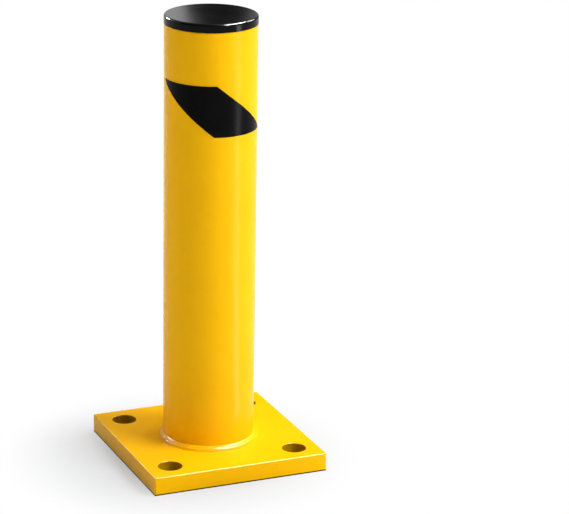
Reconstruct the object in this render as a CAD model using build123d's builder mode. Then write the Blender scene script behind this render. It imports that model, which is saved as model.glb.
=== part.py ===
from build123d import *
from math import degrees, hypot, radians, tan
import os

# Steel bollard: a round tube welded upright on a square foot plate that takes four floor anchors,
# closed by a black push-in cap and marked near its top by a slanted black stripe.
# Millimetres. The origin is the middle of the plate's underside and +Z runs up the tube.

# Foot plate, cut from 3/4 inch steel
plate_side = 203.2
plate_thickness = 19.05
plate_corner_radius = 1.8
plate_edge_radius = 1.4
anchor_spacing = 147.4
anchor_hole_diameter = 26.6
anchor_hole_edge = 0.6

# Tube, 4 inches outside
tube_diameter = 101.6
tube_wall = 3.2
tube_height = 474.4
tube_end_chamfer = 0.6

# Fillet weld round the foot, laid down as a row of overlapping ripples
weld_leg = 5.6
weld_puddle_depth = 8.0
weld_ripple_count = 45
weld_ripple_step = 0.2

# Push-in cap: a flat lid that sits on the tube's end, over a finned skirt
cap_overhang = 0.4
cap_height = 9.4
cap_edge_radius = 2.4
cap_web_thickness = 4.2
skirt_depth = 28.0
skirt_wall = 2.4
skirt_gap = 1.6
skirt_lead_in = 1.2
fin_count = 3
fin_pitch = 8.0
fin_first_drop = 5.0
fin_rise = 2.4
fin_root = 0.6
fin_clearance = 0.05

# Stripe of black vinyl: level at its top and bottom edges, slanted at its two ends
stripe_drop = 58.2
stripe_height = 56.4
stripe_length = 73.4
stripe_slant = 70.6
stripe_bearing = -105.5
vinyl_thickness = 0.25
adhesive_thickness = 0.05

tube_radius = tube_diameter / 2
bore_radius = tube_radius - tube_wall
tube_top = plate_thickness + tube_height


# Foot plate: rounded edges above, square below, and four through holes on a square
with BuildPart() as base_plate:
    with BuildSketch():
        RectangleRounded(plate_side, plate_side, plate_corner_radius)
    extrude(amount=plate_thickness)
    fillet(base_plate.faces().sort_by(Axis.Z)[-1].outer_wire().edges(), plate_edge_radius)
    with Locations((0, 0, plate_thickness)):
        with GridLocations(anchor_spacing, anchor_spacing, 2, 2):
            Hole(anchor_hole_diameter / 2)
    hole_mouths = base_plate.faces().sort_by(Axis.Z)[-1].inner_wires()
    chamfer([edge for mouth in hole_mouths for edge in mouth.edges()], anchor_hole_edge)

# Tube: its sawn top end is deburred on the outside and the inside
with BuildPart() as post_tube:
    with BuildSketch(Plane.XY.offset(plate_thickness)):
        Circle(tube_radius)
        Circle(bore_radius, mode=Mode.SUBTRACT)
    extrude(amount=tube_height)
    chamfer(post_tube.faces().sort_by(Axis.Z)[-1].edges(), tube_end_chamfer)

# One ripple of the weld: a slice of a cone that lies along the joint and swells towards its leading
# end. Its axis runs behind the joint's corner, so that its surface crosses both legs.
ripple_angle = 360 / weld_ripple_count
crest_radius = hypot(weld_leg + weld_puddle_depth, weld_puddle_depth)
ripple_outward = Vector(1, 0, 0).rotate(Axis.Z, ripple_angle / 2)
ripple_along = ripple_outward.rotate(Axis.Z, 90)
ripple_centre = ripple_outward * (tube_radius - weld_puddle_depth)
ripple_length = 2 * (tube_radius + crest_radius) * tan(radians(ripple_angle / 2))
ripple_height = plate_thickness - weld_puddle_depth
ripple_origin = ripple_centre + Vector(0, 0, ripple_height)
with BuildPart() as weld_ripple:
    with BuildSketch(Plane.XZ):
        with Locations((tube_radius, plate_thickness)):
            Rectangle(crest_radius, crest_radius, align=(Align.MIN, Align.MIN))
    revolve(axis=Axis.Z, revolution_arc=ripple_angle)
    with Locations(Plane(ripple_origin, x_dir=-ripple_outward, z_dir=ripple_along)):
        Cone(crest_radius - weld_ripple_step, crest_radius, ripple_length, mode=Mode.INTERSECT)

# Foot weld: the ripples side by side all the way round
with BuildPart() as foot_weld:
    with PolarLocations(0, weld_ripple_count):
        add(weld_ripple.part)

# End cap: a flat lid with a rounded edge, and a hollow skirt with springy fins
lid_radius = tube_radius + cap_overhang
cap_top = tube_top + cap_height
web_underside = cap_top - cap_web_thickness
skirt_radius = bore_radius - skirt_gap
skirt_inner_radius = skirt_radius - skirt_wall
skirt_bottom = tube_top - skirt_depth
fin_reach = bore_radius - fin_clearance
with BuildPart() as end_cap:
    with BuildSketch(Plane.XZ):
        with BuildLine():
            lid = FilletPolyline(
                (lid_radius, tube_top),
                (lid_radius, cap_top),
                (0, cap_top),
                radius=cap_edge_radius,
            )
            Polyline(
                lid @ 1,
                (0, web_underside),
                (skirt_inner_radius, web_underside),
                (skirt_inner_radius, skirt_bottom),
                (skirt_radius - skirt_lead_in, skirt_bottom),
                (skirt_radius, skirt_bottom + skirt_lead_in),
                (skirt_radius, tube_top),
                lid @ 0,
            )
        make_face()
    revolve(axis=Axis.Z)
    with BuildSketch(Plane.XZ):
        for step in range(fin_count):
            fin_top = tube_top - fin_first_drop - step * fin_pitch
            Polygon(
                (skirt_radius - fin_root, fin_top - fin_rise),
                (skirt_radius, fin_top - fin_rise),
                (fin_reach, fin_top),
                (skirt_radius - fin_root, fin_top),
                align=None,
            )
    revolve(axis=Axis.Z)

# Stripe: a band of vinyl on the tube, cut to a sector that turns as it rises, so that its two
# ends wind round the tube as straight cuts do on the flat sheet
vinyl_radius = tube_radius + adhesive_thickness
stripe_top = tube_top - stripe_drop
stripe_bottom = stripe_top - stripe_height
stripe_sweep = degrees(stripe_length / tube_radius)
stripe_turn = degrees(stripe_slant / tube_radius)
stripe_start = stripe_bearing + (stripe_turn - stripe_sweep) / 2
with BuildSketch(Plane.XY.offset(stripe_bottom)) as stripe_sector:
    with BuildLine():
        outer = CenterArc((0, 0), tube_radius + tube_wall, stripe_start, stripe_sweep)
        inner = CenterArc((0, 0), tube_radius - tube_wall, stripe_start, stripe_sweep)
        Line(outer @ 0, inner @ 0)
        Line(outer @ 1, inner @ 1)
    make_face()
stripe_twist = Solid.extrude_linear_with_rotation(
    stripe_sector.sketch.face(), (0, 0, stripe_bottom), (0, 0, stripe_height), -stripe_turn
)
with BuildPart() as stripe_decal:
    with BuildSketch(Plane.XY.offset(stripe_bottom)):
        Circle(vinyl_radius + vinyl_thickness)
        Circle(vinyl_radius, mode=Mode.SUBTRACT)
    extrude(amount=stripe_height)
    add(stripe_twist, mode=Mode.INTERSECT)

base_plate.part.label = "base_plate"
post_tube.part.label = "post_tube"
foot_weld.part.label = "foot_weld"
end_cap.part.label = "end_cap"
stripe_decal.part.label = "stripe_decal"

os.makedirs("parts", exist_ok=True)
export_step(base_plate.part, "parts/base_plate.step")
export_step(post_tube.part, "parts/post_tube.step")
export_step(foot_weld.part, "parts/foot_weld.step")
export_step(end_cap.part, "parts/end_cap.step")
export_step(stripe_decal.part, "parts/stripe_decal.step")
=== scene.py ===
import math

import bpy
from mathutils import Matrix, Vector, noise


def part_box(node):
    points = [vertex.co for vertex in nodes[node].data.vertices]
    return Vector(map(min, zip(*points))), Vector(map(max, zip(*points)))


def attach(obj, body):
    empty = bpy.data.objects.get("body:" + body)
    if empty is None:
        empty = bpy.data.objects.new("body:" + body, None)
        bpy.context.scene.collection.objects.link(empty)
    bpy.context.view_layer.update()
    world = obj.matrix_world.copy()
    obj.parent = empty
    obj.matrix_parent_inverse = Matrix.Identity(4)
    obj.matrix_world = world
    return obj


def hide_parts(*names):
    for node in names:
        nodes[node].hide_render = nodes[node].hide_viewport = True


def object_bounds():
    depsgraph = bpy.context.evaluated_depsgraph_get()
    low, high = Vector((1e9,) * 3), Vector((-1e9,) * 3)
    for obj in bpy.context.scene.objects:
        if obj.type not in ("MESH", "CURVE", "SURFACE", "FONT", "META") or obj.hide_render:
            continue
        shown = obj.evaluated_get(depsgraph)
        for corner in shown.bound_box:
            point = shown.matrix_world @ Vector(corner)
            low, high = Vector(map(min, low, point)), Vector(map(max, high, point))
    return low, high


# The looks of the bollard: yellow powder coat on steel, a black vinyl stripe and a black plastic
# cap, on a white studio floor. Metres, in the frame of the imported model.
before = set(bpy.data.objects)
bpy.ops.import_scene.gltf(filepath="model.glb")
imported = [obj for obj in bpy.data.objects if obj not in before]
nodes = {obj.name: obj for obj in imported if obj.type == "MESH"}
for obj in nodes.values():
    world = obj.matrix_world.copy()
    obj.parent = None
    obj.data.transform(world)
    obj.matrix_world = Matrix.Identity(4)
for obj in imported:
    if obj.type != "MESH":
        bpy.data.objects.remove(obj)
cad_low, cad_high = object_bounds()
MM = 0.001

# Image and camera, as the photograph was taken
IMAGE_WIDTH = 569
FOCAL_PIXELS = 2652.0
SENSOR_WIDTH = 36.0
VIEW_AZIMUTH = math.radians(-23.35)
VIEW_ELEVATION = math.radians(18.162)
VIEW_ROLL = math.radians(0.96)
VIEW_DISTANCE = 2.9981
VIEW_RIGHT = 0.08642
VIEW_UP = 0.21698
FARTHEST_VIEW = 100.0

# Room: dark walls below, a bright ceiling above
WALL_LIGHT = 0.015
CEILING_LIGHT = 0.74
WALL_TOP = math.radians(33)
CEILING_FOOT = math.radians(50)

# Floor as the camera and gloss see it: near the object a matt floor that holds its shadow, lightened
# by a painted glow, plain white further out, and painted dark, as shadow, in the thin gap under the
# plate's rim
FLOOR_HALF_SIZE = 30.0
FLOOR_DROP = 1.4 * MM
FLOOR_TONE = (0.282, 0.288, 0.296, 1)
# The floor's glow is painted light that lightens the shadow near the object.
FLOOR_GLOW = (0.360, 0.368, 0.379, 1)
FLOOR_NEAR = 0.053
FLOOR_FAR = 0.212
SHADOW_BEARING = math.radians(-66.4)
SHADOW_OFFSET = 0.033
UNDER_PLATE_TONE = (0.45, 0.45, 0.45, 1)
# The gap's tone is painted shadow: near black along the plate's rim, where the floor lies in the
# plate's shade.
GAP_PAINTED_SHADOW = (0.02, 0.02, 0.02, 1)
GAP_DEPTH = 6.0 * MM
EDGE_BLUR = 1.0 * MM

# Floor as scattered light meets it: painted darker near the object, as painted shade, and pale
# further out
BOUNCE_PAINTED_SHADE = (0.24, 0.24, 0.24, 1)
BOUNCE_FAR = (0.88, 0.88, 0.88, 1)
STREAK_HEIGHT = 2.0 * MM

# Coat, vinyl and plastic
COAT_TINTS = ((0.930, 0.484, 0.0005, 1), (0.950, 0.504, 0.0009, 1))
# The bores' tint is painted shade: the coat darkened inside the anchor holes.
BORE_PAINTED_SHADE = (0.42, 0.23, 0.0008, 1)
BLACK_TINTS = ((0.0010, 0.0010, 0.0011, 1), (0.0018, 0.0018, 0.0019, 1))
PEEL_SCALE = 420.0

# Anchor holes
HOLE_OFFSET = 73.7 * MM
HOLE_RADIUS = 13.3 * MM
BORE_FADE_START = 0.1 * MM
BORE_FADE_END = 0.5 * MM

# Weld bead: its mesh, its section, and the waves laid over it
WELD_COLUMNS = 960
WELD_STEPS = 24
WELD_SHARP = math.radians(55)
WELD_CROWN = 0.9 * MM
WELD_BITE = 0.25 * MM
WELD_TUCK = 0.9
WELD_REACH = 0.965
WELD_REACH_DRIFT = 0.035
WELD_REACH_SCALE = 3.7
WELD_SWELLS = ((2.6, 0.16 * MM), (7.0, 0.07 * MM))
WELD_RIPPLES = 104
WELD_RIPPLE = 0.05 * MM
WELD_RIPPLE_BOW = 2.2
WELD_RIDGES = 3
WELD_RIDGE = 0.12 * MM
WELD_RIDGE_WANDER = 2.0
WELD_RIDGE_SCALE = 1.9
WELD_LAP_BEARING = math.radians(-64)
WELD_LAP_WIDTH = math.radians(6)
WELD_LUMP = 1.4 * MM
WELD_LUMPS_ROUND = 20
WELD_LUMPS_ACROSS = 5.0
WELD_LUMP_LAYER = 4.2

# Places read from the frame
plate_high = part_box("base_plate")[1]
tube_low, tube_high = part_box("post_tube")
weld_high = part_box("foot_weld")[1]
tube_radius = (tube_high.x - tube_low.x) / 2


def smooth_mesh(name, points, faces):
    """A new smooth-shaded object from points and faces."""
    mesh = bpy.data.meshes.new(name)
    mesh.from_pydata(points, [], faces)
    mesh.validate()
    mesh.shade_smooth()
    piece = bpy.data.objects.new(name, mesh)
    bpy.context.scene.collection.objects.link(piece)
    return piece


def ring_faces(rows, columns):
    """Quads over rows of points, closed along each row and from the last row to the first."""
    faces = []
    for i in range(rows):
        j = (i + 1) % rows
        for k in range(columns):
            n = (k + 1) % columns
            faces.append((i * columns + k, j * columns + k, j * columns + n, i * columns + n))
    return faces


# Shader nodes
def new_material(name):
    material = bpy.data.materials.new(name)
    material.use_nodes = True
    return material, material.node_tree.nodes, material.node_tree.links


def bare_material(name):
    """A new material without its first shader."""
    material, tree_nodes, links = new_material(name)
    tree_nodes.remove(tree_nodes["Principled BSDF"])
    return material, tree_nodes, links


def math_node(tree_nodes, links, operation, first, second):
    node = tree_nodes.new("ShaderNodeMath")
    node.operation = operation
    links.new(first, node.inputs[0])
    links.new(second, node.inputs[1])
    return node.outputs[0]


def vector_node(tree_nodes, links, operation, vector, other=(0, 0, 0)):
    node = tree_nodes.new("ShaderNodeVectorMath")
    node.operation = operation
    links.new(vector, node.inputs[0])
    node.inputs[1].default_value = other
    return node


def noise_node(tree_nodes, links, vector, scale, detail):
    node = tree_nodes.new("ShaderNodeTexNoise")
    node.inputs["Scale"].default_value = scale
    node.inputs["Detail"].default_value = detail
    links.new(vector, node.inputs["Vector"])
    return node.outputs["Fac"]


def ramp_node(tree_nodes, links, factor, colours, start=0.0, end=1.0):
    """A two-colour ramp driven by a factor."""
    node = tree_nodes.new("ShaderNodeValToRGB")
    low, high = node.color_ramp.elements
    low.position, high.position = start, end
    low.color, high.color = colours
    links.new(factor, node.inputs["Fac"])
    return node.outputs["Color"]


def range_node(tree_nodes, links, value, low, high, start=0.0, end=1.0, smooth=False):
    """Maps a value between start and end onto the range from low to high."""
    node = tree_nodes.new("ShaderNodeMapRange")
    if smooth:
        node.interpolation_type = "SMOOTHSTEP"
    node.inputs["From Min"].default_value = start
    node.inputs["From Max"].default_value = end
    node.inputs["To Min"].default_value = low
    node.inputs["To Max"].default_value = high
    links.new(value, node.inputs["Value"])
    return node.outputs["Result"]


def bump_node(tree_nodes, links, height, strength, distance, normal=None):
    node = tree_nodes.new("ShaderNodeBump")
    node.inputs["Strength"].default_value = strength
    node.inputs["Distance"].default_value = distance
    links.new(height, node.inputs["Height"])
    if normal is not None:
        links.new(normal, node.inputs["Normal"])
    return node.outputs["Normal"]


def mix_shaders(tree_nodes, links, factor, first, second):
    """The first shader where the factor is 0 and the second where it is 1."""
    node = tree_nodes.new("ShaderNodeMixShader")
    links.new(factor, node.inputs["Fac"])
    links.new(first, node.inputs[1])
    links.new(second, node.inputs[2])
    return node.outputs[0]


def object_place(tree_nodes):
    return tree_nodes.new("ShaderNodeTexCoord").outputs["Object"]


# Materials
def drifting_finish(name, specular, drift_scale, drift_detail, tints, tint_span, roughness):
    """A finish whose colour and gloss drift a little with one broad noise."""
    material, tree_nodes, links = new_material(name)
    shader = tree_nodes["Principled BSDF"]
    shader.inputs["Specular IOR Level"].default_value = specular
    place = object_place(tree_nodes)
    drift = noise_node(tree_nodes, links, place, drift_scale, drift_detail)
    tint = ramp_node(tree_nodes, links, drift, tints, *tint_span)
    links.new(tint, shader.inputs["Base Color"])
    gloss = range_node(tree_nodes, links, drift, *roughness)
    links.new(gloss, shader.inputs["Roughness"])
    return material, shader, place, tint


def inside_anchor_hole(tree_nodes, links, place):
    """1 on the bore of an anchor hole, where the coat's colour is darkened as painted shade, and 0
    everywhere else.
    """
    one_corner = vector_node(tree_nodes, links, "ABSOLUTE", place).outputs["Vector"]
    flat = vector_node(tree_nodes, links, "MULTIPLY", one_corner, (1, 1, 0)).outputs["Vector"]
    axis = (HOLE_OFFSET, HOLE_OFFSET, 0)
    off_axis = vector_node(tree_nodes, links, "DISTANCE", flat, axis).outputs["Value"]
    start, end = HOLE_RADIUS + BORE_FADE_END, HOLE_RADIUS + BORE_FADE_START
    return range_node(tree_nodes, links, off_axis, 0.0, 1.0, start, end, smooth=True)


def powder_coat():
    """Yellow polyester powder coat: even colour, slight orange peel, a soft gloss."""
    material, shader, place, tint = drifting_finish(
        "yellow_powder_coat", specular=0.045, drift_scale=14.0, drift_detail=2.0,
        tints=COAT_TINTS, tint_span=(0.35, 0.65), roughness=(0.22, 0.30),
    )
    tree_nodes, links = material.node_tree.nodes, material.node_tree.links
    # Painted shade: the coat's colour is darkened on the bores of the anchor holes
    bore_shade = tree_nodes.new("ShaderNodeMix")
    bore_shade.data_type = "RGBA"
    bore_shade.inputs["B"].default_value = BORE_PAINTED_SHADE
    links.new(inside_anchor_hole(tree_nodes, links, place), bore_shade.inputs["Factor"])
    links.new(tint, bore_shade.inputs["A"])
    links.new(bore_shade.outputs["Result"], shader.inputs["Base Color"])
    peel = noise_node(tree_nodes, links, place, scale=PEEL_SCALE, detail=2.0)
    waves = noise_node(tree_nodes, links, place, scale=70.0, detail=1.0)
    fine = bump_node(tree_nodes, links, peel, strength=0.10, distance=0.06 * MM)
    broad = bump_node(tree_nodes, links, waves, strength=0.10, distance=0.12 * MM, normal=fine)
    links.new(broad, shader.inputs["Normal"])
    return material


def cap_plastic():
    """Black moulded polyethylene, glossy, with faint flow marks."""
    material, shader, place, _ = drifting_finish(
        "black_cap_plastic", specular=0.09, drift_scale=30.0, drift_detail=3.0,
        tints=BLACK_TINTS, tint_span=(0.3, 0.7), roughness=(0.15, 0.20),
    )
    tree_nodes, links = material.node_tree.nodes, material.node_tree.links
    grain = noise_node(tree_nodes, links, place, scale=900.0, detail=2.0)
    bump = bump_node(tree_nodes, links, grain, strength=0.02, distance=0.03 * MM)
    links.new(bump, shader.inputs["Normal"])
    return material


def stripe_vinyl():
    """Black vinyl film with a satin face and the faint print of the coat under it."""
    material, shader, place, _ = drifting_finish(
        "black_stripe_vinyl", specular=0.045, drift_scale=25.0, drift_detail=2.0,
        tints=BLACK_TINTS, tint_span=(0.3, 0.7), roughness=(0.24, 0.30),
    )
    tree_nodes, links = material.node_tree.nodes, material.node_tree.links
    peel = noise_node(tree_nodes, links, place, scale=PEEL_SCALE, detail=2.0)
    bump = bump_node(tree_nodes, links, peel, strength=0.06, distance=0.08 * MM)
    links.new(bump, shader.inputs["Normal"])
    return material


def dress(piece, material):
    """Gives an object one material, in its own material slot."""
    if not piece.material_slots:
        piece.data.materials.append(material)
    for place in piece.material_slots:
        place.material = material


# Weld bead
def bead_offset(angle, t, side):
    """How far the bead stands proud of its chord, t running from the tube's toe to the plate's."""
    belly = 4 * t * (1 - t)
    swell = sum(noise.noise(side * scale) * size for scale, size in WELD_SWELLS)
    bow = WELD_RIPPLE_BOW * math.cos(math.pi * (t - 0.5))
    ripple = WELD_RIPPLE * math.cos(WELD_RIPPLES * angle + bow)
    wander = WELD_RIDGE_WANDER * noise.noise(side * WELD_RIDGE_SCALE)
    ridges = WELD_RIDGE * math.cos(2 * math.pi * WELD_RIDGES * t + wander)
    lap = math.exp(-((angle - lap_angle) / WELD_LAP_WIDTH) ** 2)
    spot = Vector((angle * WELD_LUMPS_ROUND, t * WELD_LUMPS_ACROSS, WELD_LUMP_LAYER))
    lumps = noise.noise(spot) * WELD_LUMP
    return belly * (WELD_CROWN + swell + ripple + ridges + lap * lumps)


def weld_bead():
    """The bead round the foot: a smooth convex roll with faint ridges and the lap that closed it."""
    leg = weld_high.z - plate_high.z
    outward = Vector((1, 1)).normalized()
    angles = [2 * math.pi * k / WELD_COLUMNS - math.pi for k in range(WELD_COLUMNS)]
    points = []
    for i in range(WELD_STEPS + 1):
        t = i / WELD_STEPS
        for angle in angles:
            side = Vector((math.cos(angle), math.sin(angle), 0))
            drift = noise.noise(side * WELD_REACH_SCALE + Vector((0, 0, t)))
            reach = leg * (WELD_REACH + WELD_REACH_DRIFT * drift)
            off = bead_offset(angle, t, side)
            radius = tube_radius + reach * t + outward.x * off
            height = plate_high.z + reach * (1 - t) + outward.y * off
            points.append((side.x * radius, side.y * radius, height))
    hidden_back = (
        (tube_radius + leg * WELD_TUCK, plate_high.z - WELD_BITE),
        (tube_radius - WELD_BITE, plate_high.z - WELD_BITE),
        (tube_radius - WELD_BITE, plate_high.z + leg * WELD_TUCK),
    )
    for radius, height in hidden_back:
        points += [(math.cos(a) * radius, math.sin(a) * radius, height) for a in angles]
    rows = WELD_STEPS + 1 + len(hidden_back)
    bead = smooth_mesh("weld_bead", points, ring_faces(rows, WELD_COLUMNS))
    bead.data.set_sharp_from_angle(angle=WELD_SHARP)
    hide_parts("foot_weld")
    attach(bead, "post")
    return bead


# Floor, world, lights and camera
def seen_directly(tree_nodes, links):
    """1 for a ray from the camera, off gloss or through glass, and 0 for scattered light."""
    path = tree_nodes.new("ShaderNodeLightPath").outputs
    seen = path["Is Camera Ray"]
    for kind in ("Is Glossy Ray", "Is Transmission Ray"):
        seen = math_node(tree_nodes, links, "MAXIMUM", seen, path[kind])
    return seen


def square_distance(tree_nodes, links, place):
    """How far a place is from the plate's middle, along X or Y, whichever is more."""
    one_corner = vector_node(tree_nodes, links, "ABSOLUTE", place).outputs["Vector"]
    ways = tree_nodes.new("ShaderNodeSeparateXYZ")
    links.new(one_corner, ways.inputs[0])
    return math_node(tree_nodes, links, "MAXIMUM", ways.outputs["X"], ways.outputs["Y"])


def edge_step(tree_nodes, links, value, edge):
    """Rises from 0 to 1 across an edge."""
    start, end = edge - EDGE_BLUR / 2, edge + EDGE_BLUR / 2
    return range_node(tree_nodes, links, value, 0.0, 1.0, start, end)


def studio_floor():
    """A wide white floor that holds the object's soft shadow and is clear from below."""
    size = FLOOR_HALF_SIZE
    square = ((-size, -size), (size, -size), (size, size), (-size, size))
    corners = [(x, y, -FLOOR_DROP) for x, y in square]
    floor = smooth_mesh("studio_floor", corners, [(0, 1, 2, 3)])
    material, tree_nodes, links = bare_material("studio_floor")
    place = object_place(tree_nodes)

    # How far out a place is from the shadow's middle
    a = camera_bearing + SHADOW_BEARING
    middle = (math.cos(a) * SHADOW_OFFSET, math.sin(a) * SHADOW_OFFSET, 0)
    reach = vector_node(tree_nodes, links, "DISTANCE", place, middle).outputs["Value"]
    spread = range_node(tree_nodes, links, reach, 0.0, 1.0, FLOOR_NEAR, FLOOR_FAR, smooth=True)

    # What the camera and gloss see: near the object the matt floor with its shadow, lightened by a
    # painted glow, then white
    matt = tree_nodes.new("ShaderNodeBsdfDiffuse")
    matt.inputs["Color"].default_value = FLOOR_TONE
    # Painted light: a glow that lightens the floor and its shadow near the object
    glow = tree_nodes.new("ShaderNodeEmission")
    glow.inputs["Color"].default_value = FLOOR_GLOW
    near = tree_nodes.new("ShaderNodeAddShader")
    links.new(matt.outputs[0], near.inputs[0])
    links.new(glow.outputs[0], near.inputs[1])
    white = tree_nodes.new("ShaderNodeEmission")
    lit = mix_shaders(tree_nodes, links, spread, near.outputs[0], white.outputs[0])

    # Under the plate: a grey floor, seen through the anchor holes, with a painted dark band of
    # shadow along its rim
    off_middle = square_distance(tree_nodes, links, place)
    # The band inside the plate's rim is painted shadow
    rim = edge_step(tree_nodes, links, off_middle, plate_high.x - GAP_DEPTH)
    under = tree_nodes.new("ShaderNodeBsdfDiffuse")
    under_and_shadow_tone = ramp_node(tree_nodes, links, rim, (UNDER_PLATE_TONE, GAP_PAINTED_SHADOW))
    links.new(under_and_shadow_tone, under.inputs["Color"])
    beyond = edge_step(tree_nodes, links, off_middle, plate_high.x)
    shown = mix_shaders(tree_nodes, links, beyond, under.outputs[0], lit)

    # What scattered light meets: the floor painted dark near the object, as painted shade, then pale
    bounce = tree_nodes.new("ShaderNodeBsdfDiffuse")
    bounce_tone = ramp_node(tree_nodes, links, spread, (BOUNCE_PAINTED_SHADE, BOUNCE_FAR))
    links.new(bounce_tone, bounce.inputs["Color"])
    seen = seen_directly(tree_nodes, links)
    top = mix_shaders(tree_nodes, links, seen, bounce.outputs[0], shown)

    below = tree_nodes.new("ShaderNodeNewGeometry").outputs["Backfacing"]
    clear = tree_nodes.new("ShaderNodeBsdfTransparent").outputs[0]
    surface = mix_shaders(tree_nodes, links, below, top, clear)
    links.new(surface, tree_nodes["Material Output"].inputs["Surface"])
    dress(floor, material)


def studio_world():
    """The room round the object: dark walls below, a softly lit ceiling above."""
    world = bpy.data.worlds.new("studio")
    bpy.context.scene.world = world
    world.use_nodes = True
    tree_nodes, links = world.node_tree.nodes, world.node_tree.links
    ways = tree_nodes.new("ShaderNodeSeparateXYZ")
    links.new(tree_nodes.new("ShaderNodeTexCoord").outputs["Generated"], ways.inputs[0])
    light = range_node(
        tree_nodes, links, ways.outputs["Z"], WALL_LIGHT, CEILING_LIGHT,
        math.sin(WALL_TOP), math.sin(CEILING_FOOT), smooth=True,
    )
    backdrop = tree_nodes["Background"]
    backdrop.inputs["Color"].default_value = (1, 1, 1, 1)
    links.new(light, backdrop.inputs["Strength"])


def soft_panel(name, bearing, elevation, distance, size, power, colour=(1, 1, 1)):
    """A rectangular soft light aimed at the object, with its bearing in degrees to the right of
    the camera's."""
    a = camera_bearing + math.radians(bearing)
    e = math.radians(elevation)
    away = Vector((math.cos(a) * math.cos(e), math.sin(a) * math.cos(e), math.sin(e)))
    light = bpy.data.lights.new(name, "AREA")
    light.shape = "RECTANGLE"
    light.size, light.size_y = size
    light.energy = power
    light.color = colour
    lamp = bpy.data.objects.new(name, light)
    bpy.context.scene.collection.objects.link(lamp)
    lamp.location = Vector((0, 0, cad_high.z / 2)) + away * distance
    lamp.rotation_euler = away.to_track_quat("Z", "Y").to_euler()
    return lamp


def mirror_card(name, bearing, elevation, distance, size, level):
    """A bright card that only gloss shows, as bright as level times white."""
    power = level * math.pi * size[0] * size[1]
    card = soft_panel(name, bearing, elevation, distance, size, power)
    card.visible_camera = False
    card.visible_diffuse = False


def floor_streak(bearing, spread, start, end, level):
    """A bright wedge lying on the floor and pointing at the object, which only gloss shows."""
    corners = []
    for reach, side in ((start, -1), (end, -1), (end, 1), (start, 1)):
        a = camera_bearing + math.radians(bearing + side * spread)
        corners.append((math.cos(a) * reach, math.sin(a) * reach, STREAK_HEIGHT))
    wedge = smooth_mesh("floor_streak", corners, [(0, 1, 2, 3)])
    wedge.visible_camera = False
    wedge.visible_diffuse = False
    wedge.visible_shadow = False
    material, tree_nodes, links = bare_material("floor_streak")
    shine = tree_nodes.new("ShaderNodeEmission")
    shine.inputs["Strength"].default_value = level
    links.new(shine.outputs[0], tree_nodes["Material Output"].inputs["Surface"])
    dress(wedge, material)


def photo_camera():
    """The photograph's camera, from its bearing, height, roll and distance."""
    back = Vector((
        math.sin(VIEW_AZIMUTH) * math.cos(VIEW_ELEVATION),
        -math.cos(VIEW_AZIMUTH) * math.cos(VIEW_ELEVATION),
        math.sin(VIEW_ELEVATION),
    ))
    level = Vector((math.cos(VIEW_AZIMUTH), math.sin(VIEW_AZIMUTH), 0))
    rise = back.cross(level)
    right = level * math.cos(VIEW_ROLL) + rise * math.sin(VIEW_ROLL)
    up = rise * math.cos(VIEW_ROLL) - level * math.sin(VIEW_ROLL)
    data = bpy.data.cameras.new("camera")
    data.sensor_width = SENSOR_WIDTH
    data.lens = SENSOR_WIDTH * FOCAL_PIXELS / IMAGE_WIDTH
    data.clip_end = FARTHEST_VIEW
    camera = bpy.data.objects.new("camera", data)
    bpy.context.scene.collection.objects.link(camera)
    camera.matrix_world = Matrix((right, up, back)).transposed().to_4x4()
    camera.location = right * VIEW_RIGHT + up * VIEW_UP + back * VIEW_DISTANCE
    bpy.context.scene.camera = camera
    return camera


camera = photo_camera()
camera_bearing = math.atan2(camera.location.y, camera.location.x)
lap_angle = camera_bearing + WELD_LAP_BEARING
studio_world()
studio_floor()

# Lamps. The angles are in degrees, the rest is in metres and watts.
soft_panel("key", bearing=73, elevation=44, distance=5.2, size=(2.8, 3.0), power=312)
soft_panel("back", bearing=140, elevation=50, distance=5.2, size=(3.2, 3.2), power=96)
soft_panel(
    "fill", bearing=-98, elevation=24, distance=5.2, size=(2.8, 2.8), power=44,
    colour=(1.0, 0.85, 0.6),
)

# What gloss mirrors: the grey sheen on the cap's disc and on the plate, the bright lines on the
# rims and the weld, and the long highlight down the tube
for name, bearing, elevation, distance, size, level in (
    ("cap_left_card", 200, 36, 0.68, (0.34, 0.26), 1.5),
    ("cap_right_card", 161, 36, 0.68, (0.28, 0.26), 0.65),
    ("plate_card", 208, -5, 0.57, (0.42, 0.24), 0.35),
    ("rim_right_card", 84, 59, 1.5, (1.3, 0.28), 560),
    ("rim_far_card", 124, 38, 1.5, (0.45, 0.40), 60),
    ("rim_left_card", -133, 28, 1.5, (0.36, 0.20), 330),
):
    mirror_card(name, bearing, elevation, distance, size, level)
floor_streak(bearing=70, spread=5.5, start=0.15, end=2.8, level=13.0)

yellow = powder_coat()
for node in ("base_plate", "post_tube"):
    dress(nodes[node], yellow)
dress(weld_bead(), yellow)
dress(nodes["end_cap"], cap_plastic())
dress(nodes["stripe_decal"], stripe_vinyl())

bpy.context.scene.view_settings.view_transform = "Standard"
